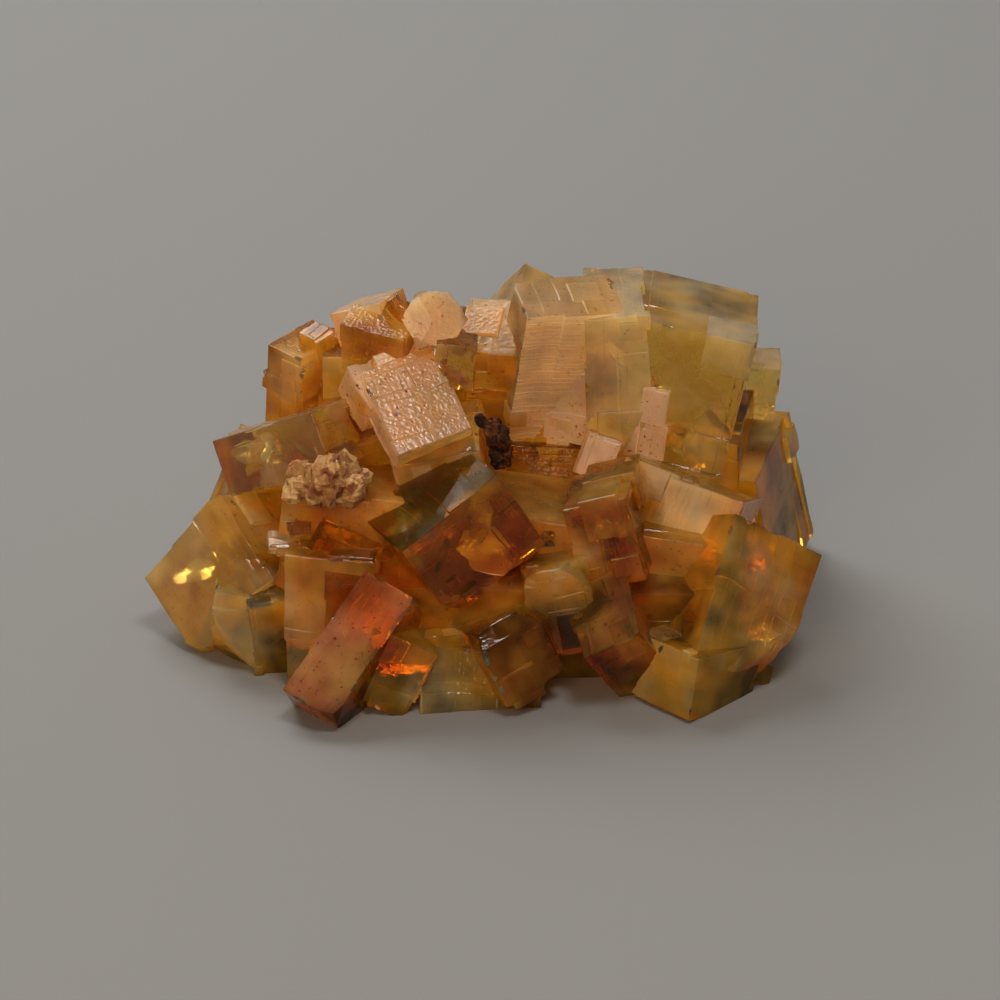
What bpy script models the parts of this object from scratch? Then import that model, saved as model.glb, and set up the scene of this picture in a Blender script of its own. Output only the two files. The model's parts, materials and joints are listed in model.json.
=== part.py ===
"""A hand-sized cluster of raw amber fluorite: cubes that grew into one another, cut flat where it rests.

Lengths are in millimetres, turned to metres as each shape is made. +X runs along the cluster, -Y is its
front and +Z is up, with the origin on the resting plane below the middle.
"""

import math
import random

import bmesh
import bpy
from mathutils import Euler, Vector

MM = 0.001

# Driving dimensions.
CLEARANCE = 0.32  # open space between a crystal and a piece of another mineral
CUT_DEPTH = 20.0  # reach of the block that planes the base flat
CUT_SIDE = 90.0
PLATE_LEAST = 0.12  # thickness of a growth plate on a cube's face
PLATE_MOST = 0.30
PLATE_SUNK = 0.40  # how far a plate reaches down into its cube
PLATE_INSET = 0.07  # share of a face that stays bare round a plate
PLATE_SHORT = 0.42  # share of a face's side that the shortest plate covers
PLATE_LONG = 0.80
SMALL_CUBE = 2.6  # a cube under this size has no plates
GRAIN_THIN = 0.65  # a grain's least side, as a share of its greatest
GRAIN_CHIPS = (((1, 1, 1), 0.22), ((-1, 1, -1), 0.18))  # corner and depth, as a share of the greatest side
HEAP_CORE = 0.45  # share of a heap's reach inside which no grain has its middle
SEED = 17

# A cube's six faces: the axis that each looks along, and its side.
FACES = ((0, 1), (0, -1), (1, 1), (1, -1), (2, 1), (2, -1))

random_source = random.Random(SEED)
placed = {}  # each crystal's size, place and turn, by name


def clear_scene():
    for old in list(bpy.data.objects):
        bpy.data.objects.remove(old, do_unlink=True)


def new_collection(name, hidden=False):
    collection = bpy.data.collections.new(name)
    bpy.context.scene.collection.children.link(collection)
    collection.hide_render = hidden
    return collection


def principled(name, colour, roughness, transmission=0.0, ior=1.45):
    material = bpy.data.materials.new(name)
    material.use_nodes = True
    shader = material.node_tree.nodes["Principled BSDF"]
    shader.inputs["Base Color"].default_value = (*colour, 1.0)
    shader.inputs["Roughness"].default_value = roughness
    shader.inputs["Metallic"].default_value = 0.0
    shader.inputs["Transmission Weight"].default_value = transmission
    shader.inputs["IOR"].default_value = ior
    return material


def turn_of(degrees):
    return Euler([math.radians(angle) for angle in degrees])


def make_guide(obj):
    obj.hide_render = True
    obj.display_type = "WIRE"


def cleavage_plane(size, corner, depth):
    """The plane that chips one corner off, a depth below its tip and equally steep to the faces there.

    A corner with a nought in it stands for the edge along that axis, and the plane bevels it.
    """
    outward = Vector(corner).normalized()
    tip = Vector([length * side / 2 for length, side in zip(size, corner)])
    return tip - outward * depth, outward


def cut_along(shape, point, outward):
    """Cuts away all that lies beyond a plane, and closes the cut."""
    made = bmesh.ops.bisect_plane(
        shape,
        geom=shape.verts[:] + shape.edges[:] + shape.faces[:],
        plane_co=point * MM,
        plane_no=outward,
        clear_outer=True,
    )
    rim = [part for part in made["geom_cut"] if isinstance(part, bmesh.types.BMEdge)]
    if rim:
        bmesh.ops.contextual_create(shape, geom=rim)


def block(collection, name, size, at, turn, planes=()):
    """A plain box, cut along the planes given in its own frame."""
    mesh = bpy.data.meshes.new(name)
    shape = bmesh.new()
    bmesh.ops.create_cube(shape, size=1.0)
    bmesh.ops.scale(shape, vec=Vector(size) * MM, verts=shape.verts)
    for point, outward in planes:
        cut_along(shape, point, outward)
    bmesh.ops.recalc_face_normals(shape, faces=shape.faces)
    shape.to_mesh(mesh)
    shape.free()
    obj = bpy.data.objects.new(name, mesh)
    obj.location = Vector(at) * MM
    obj.rotation_euler = turn_of(turn)
    collection.objects.link(obj)
    make_guide(obj)
    return obj


def plate_span():
    """Where a growth plate starts and ends across a face, as shares of its side."""
    length = random_source.uniform(PLATE_SHORT, PLATE_LONG)
    from_start = random_source.choice((True, False))
    if from_start:
        return PLATE_INSET, PLATE_INSET + length
    return 1 - PLATE_INSET - length, 1 - PLATE_INSET


def add_plate(collection, name, size, at, turn, face, planes):
    """A low rectangular step that one face grew, parallel to its edges and back from the chipped corners."""
    axis, side = face
    thickness = random_source.uniform(PLATE_LEAST, PLATE_MOST)
    plate_size = [0.0, 0.0, 0.0]
    middle = Vector()
    for across in range(3):
        if across == axis:
            plate_size[across] = thickness + PLATE_SUNK
            middle[across] = side * (size[across] / 2 + (thickness - PLATE_SUNK) / 2)
        else:
            start, end = plate_span()
            plate_size[across] = (end - start) * size[across]
            middle[across] = ((start + end) / 2 - 0.5) * size[across]
    place = Vector(at) + turn_of(turn).to_matrix() @ middle
    nearer = [(point - outward * PLATE_MOST - middle, outward) for point, outward in planes]
    block(collection, name, plate_size, place, turn, nearer)


def crystal(collection, name, size, at, turn, chips=(), bare=()):
    """A cube of fluorite with its growth plates.

    Chips are (corner signs, depth) pairs. The faces listed in bare stay smooth.
    """
    planes = [cleavage_plane(size, corner, depth) for corner, depth in chips]
    block(collection, name, size, at, turn, planes)
    placed[name] = (size, at, turn)
    if min(size) < SMALL_CUBE:
        return
    for number, face in enumerate(FACES):
        if face not in bare:
            add_plate(collection, f"{name}_plate{number}", size, at, turn, face, planes)


def broken_mass(collection):
    """The massive fluorite that the crystals grew from, under and between them."""
    crystal(collection, "middle_mass", (32, 14, 12), (0, 3, 5.5), (0, 6, -4), (), FACES)
    crystal(collection, "right_mass", (15, 8, 13), (11, 10, 7.5), (4, 0, -12), (), FACES)
    crystal(collection, "left_mass", (15, 10, 11), (-8, 8, 9.5), (0, -12, 10), (), FACES)
    crystal(collection, "upper_mass", (18, 6, 10), (-4, 8.8, 14.5), (0, 0, 0), (), FACES)
    crystal(collection, "front_mass", (27, 10, 8.5), (0.5, -2.5, 4.0), (6, 3, 4), (), FACES)


def upper_right_crystals(collection):
    crystal(collection, "striated_block", (7.2, 4.4, 13.4), (3.9, 7.0, 18.5), (18, 4, 18))
    crystal(collection, "clear_block", (9.6, 9.7, 12.0), (13.1, 8.7, 16.9), (0, 11, -5))
    crystal(collection, "block_saddle", (4.6, 8.0, 11.0), (8.6, 7.8, 18.7), (4, -3, 1))
    crystal(collection, "haze_step", (8.8, 8.0, 5.6), (8.9, 8.3, 15.6), (-1, 6, -15))
    crystal(collection, "saddle_peak", (3.4, 3.0, 6.6), (1.5, 13.5, 20.4), (34, 29, 4))
    crystal(collection, "under_ledge", (9.0, 5.0, 3.6), (5.0, 6.4, 10.8), (-14, 3, -1))
    crystal(collection, "frosted_lobe", (2.6, 4.0, 3.2), (7.2, 3.7, 12.9), (-22, 18, -9))
    crystal(collection, "right_block", (11.0, 9.8, 11.4), (16.3, 11.3, 5.0), (9, -7, -21))
    crystal(collection, "pale_cube", (2.4, 4.0, 4.5), (19.6, 14.4, 13.7), (1, 4, -2))


def lower_right_crystals(collection):
    broken_edge = (((1, -1, -1), 2.6), ((1, 1, -1), 1.8))
    crystal(collection, "ridged_block", (8.0, 10.0, 10.9), (16.0, -3.9, 4.4), (-29, 31, 16), broken_edge)
    crystal(collection, "yellow_corner", (6.0, 7.0, 4.8), (14.0, -9.0, 2.0), (-11, 1, -45))
    crystal(collection, "mauve_cube", (4.5, 6.1, 7.0), (8.8, -7.8, 3.8), (26, -29, 1))
    crystal(collection, "recess_cube", (4.9, 7.0, 6.2), (8.0, -2.9, 10.4), (-4, -17, -7))
    crystal(collection, "ledge_cube", (9.4, 8.0, 8.8), (12.8, 0.5, 8.0), (-24, 13, -21))


def centre_crystals(collection):
    torn_tip = (((-1, -1, -1), 0.9),)
    broken_top = (((1, -1, 1), 1.1), ((-1, -1, 1), 0.7))
    crystal(collection, "centre_block", (8.9, 8.0, 6.8), (-3.3, -4.0, 10.5), (-8, -30, 26), torn_tip)
    crystal(collection, "centre_wedge", (5.0, 7.0, 6.0), (4.2, -5.0, 6.0), (-9, -9, 4), broken_top)
    crystal(collection, "broken_foot", (8.7, 8.0, 5.0), (-1.7, -7.3, 0.2), (-20, 4, 4))
    crystal(collection, "broken_step", (5.0, 8.0, 6.0), (0.2, -7.6, 2.7), (-23, -16, 29), broken_top)


def left_crystals(collection):
    ragged_foot = (((-1, -1, -1), 0.8),)
    broken_foot = (((-1, -1, -1), 2.0), ((1, -1, -1), 1.0))
    bevelled = (((-1, -1, -1), 0.8), ((1, -1, 0), 0.55))
    crystal(collection, "clear_cube", (8.9, 9.0, 4.4), (-14.6, 4.4, 13.5), (-13, -25, -22))
    crystal(collection, "left_block", (9.0, 9.0, 7.7), (-19.0, 1.3, 4.3), (-27, -51, -17), bevelled)
    crystal(collection, "mauve_block", (4.3, 10.3, 9.0), (-10.0, -9.1, 2.3), (42, 16, -32))
    crystal(collection, "left_step", (6.5, 6.0, 9.6), (-11.9, -5.0, 4.6), (-9, 1, -7))
    crystal(collection, "front_foot", (4.8, 6.0, 5.4), (-7.9, -9.0, 2.9), (-6, 25, 1), ragged_foot)
    crystal(collection, "hollow_floor", (8.0, 8.0, 8.0), (-9.9, 4.0, 8.6), (18, 1, -7))
    crystal(collection, "hollow_cube", (6.0, 6.0, 5.5), (-11.2, -1.9, 7.5), (6, 26, 0))
    crystal(collection, "hollow_corner", (3.2, 4.0, 3.4), (-13.4, -3.4, 7.3), (-14, 21, -25))
    crystal(collection, "left_foot", (5.6, 6.0, 5.6), (-18.2, -2.7, 2.7), (-5, 10, 2), broken_foot)
    crystal(collection, "left_wedge", (6.0, 7.0, 6.5), (-15.6, -2.6, 3.0), (3, -6, 12), ragged_foot)
    crystal(collection, "front_wedge", (9.0, 6.0, 4.6), (-6.8, -7.0, 2.0), (-8, -5, 10))
    crystal(collection, "bright_step", (2.4, 1.5, 1.2), (-15.7, -2.9, 9.0), (36, 3, 7))
    crystal(collection, "bright_ledge", (1.8, 1.2, 1.2), (-14.5, -3.0, 9.9), (37, -2, 5))
    crystal(collection, "bright_corner", (1.2, 0.9, 0.8), (-15.1, -2.5, 10.7), (38, 4, 4))


def top_left_crystals(collection):
    hexagon = (((-1, -1, 1), 2.5),)
    crystal(collection, "brown_cube", (3.4, 5.0, 3.9), (-14.3, 8.6, 18.2), (4, 7, -38))
    crystal(collection, "brown_foot", (3.2, 4.0, 4.2), (-15.0, 8.8, 15.2), (4, 7, -38), (), FACES)
    crystal(collection, "brown_step", (1.8, 2.0, 4.9), (-13.2, 8.2, 18.5), (14, 8, -42))
    crystal(collection, "top_slab", (4.2, 4.5, 2.6), (-9.5, 9.2, 21.5), (-6, -21, -22))
    crystal(collection, "small_amber_cube", (2.5, 1.6, 2.0), (-7.3, 6.6, 22.8), (14, 30, -36))
    crystal(collection, "hexagon_cube", (3.0, 3.0, 3.0), (-4.8, 5.2, 23.1), (24, 17, 39), hexagon, FACES)
    crystal(collection, "pink_roof", (4.4, 5.5, 4.0), (-0.4, 7.0, 20.2), (21, -2, -11))
    crystal(collection, "amber_shoulder", (3.0, 5.0, 4.0), (-3.1, 6.9, 20.1), (11, 5, -3))
    crystal(collection, "shaded_cube", (5.0, 3.0, 4.4), (-8.8, 6.3, 20.5), (9, 6, -21))
    crystal(collection, "pink_block", (3.5, 3.9, 3.1), (-9.2, 4.0, 17.7), (32, -3, 33))
    crystal(collection, "brown_recess", (5.5, 6.0, 6.0), (-10.3, 6.2, 13.6), (-6, -7, 4))
    crystal(collection, "slab_foot", (6.5, 8.0, 5.0), (-4.0, 3.1, 12.9), (8, -13, 0))


def pink_slab(collection):
    """The bright square slab at the top of the front, with a second slab that shows past its far edge."""
    turn = (40, -9, 27)
    at = Vector((-6.3, 2.2, 17.4))
    far_slab = at + turn_of(turn).to_matrix() @ Vector((0.5, 0.7, -0.2))
    crystal(collection, "pink_slab", (6.0, 7.2, 2.4), at, turn)
    crystal(collection, "pink_far_slab", (3.6, 7.3, 2.1), far_slab, turn)


def back_crystals(collection):
    crystal(collection, "back_middle", (9.0, 8.0, 9.0), (-2.0, 13.0, 8.0), (20, 10, 35))
    crystal(collection, "back_left", (8.0, 8.0, 7.0), (-16.0, 9.5, 7.0), (-15, 25, 10))
    crystal(collection, "back_right", (8.0, 6.0, 8.0), (5.0, 14.0, 13.5), (35, -10, 20))
    crystal(collection, "back_top", (6.0, 6.0, 7.0), (-7.0, 13.0, 14.5), (10, 30, -25))
    crystal(collection, "back_foot", (7.0, 6.0, 5.0), (6.5, 16.0, 2.6), (12, -8, 40))
    crystal(collection, "back_corner", (5.0, 5.0, 5.0), (-10.5, 15.5, 4.5), (-20, 15, -30))
    crystal(collection, "back_small", (3.6, 3.6, 3.6), (-1.5, 17.6, 12.3), (30, 25, 10))


def ground_cutter(collection):
    size = (CUT_SIDE, CUT_SIDE, CUT_DEPTH)
    return block(collection, "ground_cutter", size, (0, 0, -CUT_DEPTH / 2), (0, 0, 0))


def with_boolean(obj, operation, other):
    modifier = obj.modifiers.new(operation.title(), "BOOLEAN")
    modifier.operation = operation
    modifier.solver = "EXACT"
    if isinstance(other, bpy.types.Collection):
        modifier.operand_type = "COLLECTION"
        modifier.collection = other
    else:
        modifier.object = other


def faces_linked_to(first):
    """All the faces that can be reached from one face across shared edges."""
    found = {first}
    waiting = [first]
    while waiting:
        for edge in waiting.pop().edges:
            for neighbour in edge.link_faces:
                if neighbour not in found:
                    found.add(neighbour)
                    waiting.append(neighbour)
    return found


def extent_of(faces):
    heights = [vertex.co.length for face in faces for vertex in face.verts]
    return max(heights) - min(heights)


def outer_skin(mesh):
    """Keeps the largest closed skin, so that spaces sealed between the crystals are solid fluorite."""
    shape = bmesh.new()
    shape.from_mesh(mesh)
    left = set(shape.faces)
    skins = []
    while left:
        skin = faces_linked_to(next(iter(left)))
        skins.append(skin)
        left -= skin
    skins.sort(key=extent_of)
    inner = [face for skin in skins[:-1] for face in skin]
    bmesh.ops.delete(shape, geom=inner, context="FACES")
    shape.to_mesh(mesh)
    shape.free()


def joined(source, name, collection, material):
    """The source with its modifiers worked out, as a node of its own."""
    graph = bpy.context.evaluated_depsgraph_get()
    mesh = bpy.data.meshes.new_from_object(source.evaluated_get(graph))
    mesh.transform(source.matrix_world)
    mesh.name = name
    mesh.materials.clear()
    outer_skin(mesh)
    obj = bpy.data.objects.new(name, mesh)
    obj.data.materials.append(material)
    collection.objects.link(obj)
    return obj


def fluorite_crystals(part, guides):
    pieces = new_collection("crystals_to_join", hidden=True)
    broken_mass(pieces)
    upper_right_crystals(pieces)
    lower_right_crystals(pieces)
    centre_crystals(pieces)
    left_crystals(pieces)
    top_left_crystals(pieces)
    pink_slab(pieces)
    back_crystals(pieces)
    seed = block(guides, "crystal_seed", (6, 6, 6), (0, 3, 6), (11, 23, 31))
    with_boolean(seed, "UNION", pieces)
    with_boolean(seed, "DIFFERENCE", ground_cutter(guides))
    amber = principled("amber_fluorite", (0.80, 0.42, 0.08), 0.12, 0.6, 1.434)
    return joined(seed, "fluorite_crystals", part, amber)


def grain(collection, name, side, at):
    """One angular grain with two corners knocked off, turned at random."""
    size = [side * random_source.uniform(GRAIN_THIN, 1.0) for _ in range(3)]
    turn = [random_source.uniform(0, 90) for _ in range(3)]
    planes = [cleavage_plane(size, corner, share * side) for corner, share in GRAIN_CHIPS]
    return block(collection, name, size, at, turn, planes)


def heap_of_grains(pieces, name, middle, reach, sides, count):
    """Grains spread through an ellipsoid, close enough to hang together."""
    for number in range(count):
        outward = Vector([random_source.gauss(0, 1) for _ in range(3)]).normalized()
        share = random_source.uniform(HEAP_CORE, 1.0)
        offset = Vector([out * far * share for out, far in zip(outward, reach)])
        grain(pieces, f"{name}_{number}", random_source.uniform(*sides), Vector(middle) + offset)


def other_mineral(part, guides, name, heap, neighbours, material):
    """A heap of grains as one solid, held clear of the crystals that it lies between."""
    pieces = new_collection(f"{name}_grains", hidden=True)
    room = new_collection(f"{name}_room", hidden=True)
    middle, reach, sides, count = heap
    heap_of_grains(pieces, name, middle, reach, sides, count)
    for neighbour in neighbours:
        size, at, turn = placed[neighbour]
        margin = CLEARANCE if neighbour.endswith("mass") else CLEARANCE + PLATE_MOST
        block(room, f"{neighbour}_by_{name}", [length + 2 * margin for length in size], at, turn)
    seed = block(guides, f"{name}_seed", reach, middle, (10, 20, 30))
    with_boolean(seed, "UNION", pieces)
    with_boolean(seed, "DIFFERENCE", room)
    return joined(seed, name, part, material)


def matrix_crumb(part, guides):
    """A crumb of granular host rock left in the hollow under the clear cube."""
    rock = principled("host_rock", (0.72, 0.58, 0.38), 0.85)
    heap = ((-12.2, -2.2, 13.6), (2.6, 1.3, 1.3), (1.1, 2.0), 30)
    neighbours = ("middle_mass", "clear_cube", "hollow_floor", "left_block", "brown_recess", "left_mass")
    return other_mineral(part, guides, "matrix_crumb", heap, neighbours, rock)


def iron_oxide_fill(part, guides):
    """A dark crust of iron oxide in the crevice between the pink slab and the striated block."""
    oxide = principled("iron_oxide", (0.10, 0.05, 0.025), 0.8)
    heap = ((-0.9, 0.6, 14.8), (1.2, 1.2, 2.4), (0.8, 1.4), 34)
    neighbours = (
        "slab_foot",
        "pink_slab",
        "left_mass",
        "upper_mass",
        "pink_roof",
        "amber_shoulder",
        "striated_block",
        "middle_mass",
        "centre_block",
    )
    return other_mineral(part, guides, "iron_oxide_fill", heap, neighbours, oxide)


def stand_on_origin(nodes):
    """Moves the cluster so that the origin is on the resting plane, below the middle of its box."""
    corners = [node.matrix_world @ Vector(corner) for node in nodes for corner in node.bound_box]
    for axis in (0, 1):
        places = [corner[axis] for corner in corners]
        for node in nodes:
            node.location[axis] -= (min(places) + max(places)) / 2


def build():
    clear_scene()
    part = new_collection("raw_fluorite")
    guides = new_collection("guides", hidden=True)
    nodes = [fluorite_crystals(part, guides), matrix_crumb(part, guides), iron_oxide_fill(part, guides)]
    bpy.context.view_layer.update()
    stand_on_origin(nodes)


build()
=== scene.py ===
# %% [markdown]
# # A cluster of raw amber fluorite
#
# Fluorite grows as cubes. Here some sixty of them grew into one another out of the same broken mass, so the
# real thing is one see-through body with many flat faces. This lesson builds that body in four steps: each cube
# is a numpy surface with growth steps on it, a Boolean union grows the cubes together, attributes remember what
# each cube's skin was like, and one material turns them into amber glass, pink frost and brown haze.

# %% Load the frame
import json
import math

import bmesh
import bpy
import numpy as np
from mathutils import Euler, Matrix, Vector

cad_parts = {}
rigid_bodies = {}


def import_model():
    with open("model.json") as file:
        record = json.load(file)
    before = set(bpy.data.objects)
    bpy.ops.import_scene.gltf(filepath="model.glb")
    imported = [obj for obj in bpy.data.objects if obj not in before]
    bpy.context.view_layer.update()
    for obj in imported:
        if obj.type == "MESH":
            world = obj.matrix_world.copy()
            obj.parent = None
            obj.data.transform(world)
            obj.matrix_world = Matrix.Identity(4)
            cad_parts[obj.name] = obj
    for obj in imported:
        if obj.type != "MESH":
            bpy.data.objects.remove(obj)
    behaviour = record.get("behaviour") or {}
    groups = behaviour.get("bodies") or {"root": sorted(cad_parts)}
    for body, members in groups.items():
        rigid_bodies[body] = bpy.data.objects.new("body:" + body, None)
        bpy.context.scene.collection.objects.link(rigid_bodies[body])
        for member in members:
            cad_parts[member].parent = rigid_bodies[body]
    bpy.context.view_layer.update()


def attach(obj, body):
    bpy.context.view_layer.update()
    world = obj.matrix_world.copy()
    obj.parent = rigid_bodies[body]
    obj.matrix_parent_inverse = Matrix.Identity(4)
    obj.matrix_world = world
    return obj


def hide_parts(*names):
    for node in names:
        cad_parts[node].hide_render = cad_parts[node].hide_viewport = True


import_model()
MM = 0.001

# %% [markdown]
# ## Where the cubes stand
#
# The layout is written in millimetres from a point of its own, as the solid model's is. The frame's origin lies
# on the resting plane, below the middle of the cluster, and this vector takes the one to the other. A cube has a
# size, a middle and a turn about X, Y and Z in degrees, and then three numbers from 0 to 1 that say how its skin
# looks: how frosted it is, how pink the frost is, and how brown the crystal is under it. On the shaded cube and
# the recess cube, which lie in shade, the brown number is partly painted shade.

# %% The layout
LAYOUT_TO_FRAME = np.array([1.217, -2.529, 0.0])

MASSES = {
    "middle_mass": ((32, 14, 12), (0, 3, 5.5), (0, 6, -4), (0.45, 0.45, 0.75)),
    "right_mass": ((15, 8, 13), (11, 10, 7.5), (4, 0, -12), (0.35, 0.20, 0.45)),
    "left_mass": ((15, 10, 11), (-8, 8, 9.5), (0, -12, 10), (0.45, 0.40, 0.70)),
    "upper_mass": ((18, 6, 10), (-4, 8.8, 14.5), (0, 0, 0), (0.40, 0.30, 0.45)),
    "front_mass": ((27, 10, 8.5), (0.5, -2.5, 4.0), (6, 3, 4), (0.40, 0.35, 0.75)),
}
UPPER_RIGHT = {
    "striated_block": ((7.2, 4.4, 13.4), (3.9, 7.0, 18.5), (18, 4, 18), (0.60, 0.45, 0.10)),
    "clear_block": ((9.6, 9.7, 12.0), (13.1, 8.7, 16.9), (0, 11, -5), (0.36, 0.10, 0.00)),
    "block_saddle": ((4.6, 8.0, 11.0), (8.6, 7.8, 18.7), (4, -3, 1), (0.50, 0.35, 0.00)),
    "haze_step": ((8.8, 8.0, 5.6), (8.9, 8.3, 15.6), (-1, 6, -15), (0.86, 0.85, 0.00)),
    "saddle_peak": ((3.4, 3.0, 6.6), (1.5, 13.5, 20.4), (34, 29, 4), (0.40, 0.10, 0.00)),
    "under_ledge": ((9.0, 5.0, 3.6), (5.0, 6.4, 10.8), (-14, 3, -1), (0.15, 0.10, 0.60)),
    "frosted_lobe": ((2.6, 4.0, 3.2), (7.2, 3.7, 12.9), (-22, 18, -9), (0.85, 0.80, 0.15)),
    "right_block": ((11.0, 9.8, 11.4), (16.3, 11.3, 5.0), (9, -7, -21), (0.40, 0.15, 0.40)),
    "pale_cube": ((2.4, 4.0, 4.5), (19.6, 14.4, 13.7), (1, 4, -2), (0.45, 0.00, 0.00)),
}
LOWER_RIGHT = {
    "ridged_block": ((8.0, 10.0, 10.9), (16.0, -3.9, 4.4), (-29, 31, 16), (0.42, 0.05, 0.38)),
    "yellow_corner": ((6.0, 7.0, 4.8), (14.0, -9.0, 2.0), (-11, 1, -45), (0.50, 0.00, 0.28)),
    "mauve_cube": ((4.5, 6.1, 7.0), (8.8, -7.8, 3.8), (26, -29, 1), (0.42, 0.60, 0.85)),
    "recess_cube": ((4.9, 7.0, 6.2), (8.0, -2.9, 10.4), (-4, -17, -7), (0.42, 0.55, 0.55)),
    "ledge_cube": ((9.4, 8.0, 8.8), (12.8, 0.5, 8.0), (-24, 13, -21), (0.42, 0.30, 0.35)),
}
CENTRE = {
    "centre_block": ((8.9, 8.0, 6.8), (-3.3, -4.0, 10.5), (-8, -30, 26), (0.24, 0.15, 0.75)),
    "centre_wedge": ((5.0, 7.0, 6.0), (4.2, -5.0, 6.0), (-9, -9, 4), (0.34, 0.30, 0.65)),
    "broken_foot": ((8.7, 8.0, 5.0), (-1.7, -7.3, 0.2), (-20, 4, 4), (0.60, 0.05, 0.42)),
    "broken_step": ((5.0, 8.0, 6.0), (0.2, -7.6, 2.7), (-23, -16, 29), (0.36, 0.15, 0.75)),
}
LEFT = {
    "clear_cube": ((8.9, 9.0, 4.4), (-14.6, 4.4, 13.5), (-13, -25, -22), (0.22, 0.05, 0.05)),
    "left_block": ((9.0, 9.0, 7.7), (-19.0, 1.3, 4.3), (-27, -51, -17), (0.50, 0.12, 0.15)),
    "mauve_block": ((4.3, 10.3, 9.0), (-10.0, -9.1, 2.3), (42, 16, -32), (0.60, 1.00, 1.50)),
    "left_step": ((6.5, 6.0, 9.6), (-11.9, -5.0, 4.6), (-9, 1, -7), (0.34, 0.40, 0.50)),
    "front_foot": ((4.8, 6.0, 5.4), (-7.9, -9.0, 2.9), (-6, 25, 1), (0.48, 0.20, 0.60)),
    "hollow_floor": ((8.0, 8.0, 8.0), (-9.9, 4.0, 8.6), (18, 1, -7), (0.45, 0.30, 0.50)),
    "hollow_cube": ((6.0, 6.0, 5.5), (-11.2, -1.9, 7.5), (6, 26, 0), (0.30, 0.30, 0.65)),
    "hollow_corner": ((3.2, 4.0, 3.4), (-13.4, -3.4, 7.3), (-14, 21, -25), (0.40, 0.30, 0.55)),
    "left_foot": ((5.6, 6.0, 5.6), (-18.2, -2.7, 2.7), (-5, 10, 2), (0.45, 0.05, 0.35)),
    "left_wedge": ((6.0, 7.0, 6.5), (-15.6, -2.6, 3.0), (3, -6, 12), (0.45, 0.10, 0.45)),
    "front_wedge": ((9.0, 6.0, 4.6), (-6.8, -7.0, 2.0), (-8, -5, 10), (0.58, 0.10, 0.45)),
    "bright_step": ((2.4, 1.5, 1.2), (-15.7, -2.9, 9.0), (36, 3, 7), (0.30, 0.50, 0.10)),
    "bright_ledge": ((1.8, 1.2, 1.2), (-14.5, -3.0, 9.9), (37, -2, 5), (0.30, 0.50, 0.10)),
    "bright_corner": ((1.2, 0.9, 0.8), (-15.1, -2.5, 10.7), (38, 4, 4), (0.30, 0.50, 0.10)),
}
TOP_LEFT = {
    "brown_cube": ((3.4, 5.0, 3.9), (-14.3, 8.6, 18.2), (4, 7, -38), (0.50, 0.40, 0.85)),
    "brown_foot": ((3.2, 4.0, 4.2), (-15.0, 8.8, 15.2), (4, 7, -38), (0.50, 0.40, 0.80)),
    "brown_step": ((1.8, 2.0, 4.9), (-13.2, 8.2, 18.5), (14, 8, -42), (0.50, 0.40, 0.80)),
    "top_slab": ((4.2, 4.5, 2.6), (-9.5, 9.2, 21.5), (-6, -21, -22), (0.80, 0.80, 0.20)),
    "small_amber_cube": ((2.5, 1.6, 2.0), (-7.3, 6.6, 22.8), (14, 30, -36), (0.20, 0.10, 0.40)),
    "hexagon_cube": ((3.0, 3.0, 3.0), (-4.8, 5.2, 23.1), (24, 17, 39), (0.90, 0.60, 0.00)),
    "pink_roof": ((4.4, 5.5, 4.0), (-0.4, 7.0, 20.2), (21, -2, -11), (0.60, 0.70, 0.25)),
    "amber_shoulder": ((3.0, 5.0, 4.0), (-3.1, 6.9, 20.1), (11, 5, -3), (0.30, 0.20, 0.10)),
    # The shaded cube's deep brown is partly painted shade, for a face that lies in shade between its neighbours; its
    # pink frost is its own.
    "shaded_cube": ((5.0, 3.0, 4.4), (-8.8, 6.3, 20.5), (9, 6, -21), (0.60, 0.60, 0.80)),
    "pink_block": ((3.5, 3.9, 3.1), (-9.2, 4.0, 17.7), (32, -3, 33), (0.80, 0.80, 0.20)),
    # The recess cube's brown is partly its own and partly painted shade, for the recess under the pink slab.
    "brown_recess": ((5.5, 6.0, 6.0), (-10.3, 6.2, 13.6), (-6, -7, 4), (0.40, 0.40, 0.80)),
    "slab_foot": ((6.5, 8.0, 5.0), (-4.0, 3.1, 12.9), (8, -13, 0), (0.40, 0.15, 0.20)),
    "pink_slab": ((6.0, 7.2, 2.4), (-6.3, 2.2, 17.4), (40, -9, 27), (0.95, 0.75, 0.00)),
    "pink_far_slab": ((3.6, 7.3, 2.1), (-6.20, 3.00, 17.77), (40, -9, 27), (0.85, 0.60, 0.00)),
}
BACK = {
    "back_middle": ((9.0, 8.0, 9.0), (-2.0, 13.0, 8.0), (20, 10, 35), (0.45, 0.40, 0.30)),
    "back_left": ((8.0, 8.0, 7.0), (-16.0, 9.5, 7.0), (-15, 25, 10), (0.50, 0.30, 0.60)),
    "back_right": ((8.0, 6.0, 8.0), (5.0, 14.0, 13.5), (35, -10, 20), (0.35, 0.20, 0.10)),
    "back_top": ((6.0, 6.0, 7.0), (-7.0, 13.0, 14.5), (10, 30, -25), (0.55, 0.55, 0.30)),
    "back_foot": ((7.0, 6.0, 5.0), (6.5, 16.0, 2.6), (12, -8, 40), (0.40, 0.30, 0.40)),
    "back_corner": ((5.0, 5.0, 5.0), (-10.5, 15.5, 4.5), (-20, 15, -30), (0.55, 0.50, 0.30)),
    "back_small": ((3.6, 3.6, 3.6), (-1.5, 17.6, 12.3), (30, 25, 10), (0.70, 0.50, 0.10)),
}
LAYOUT = MASSES | UPPER_RIGHT | LOWER_RIGHT | CENTRE | LEFT | TOP_LEFT | BACK

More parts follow.
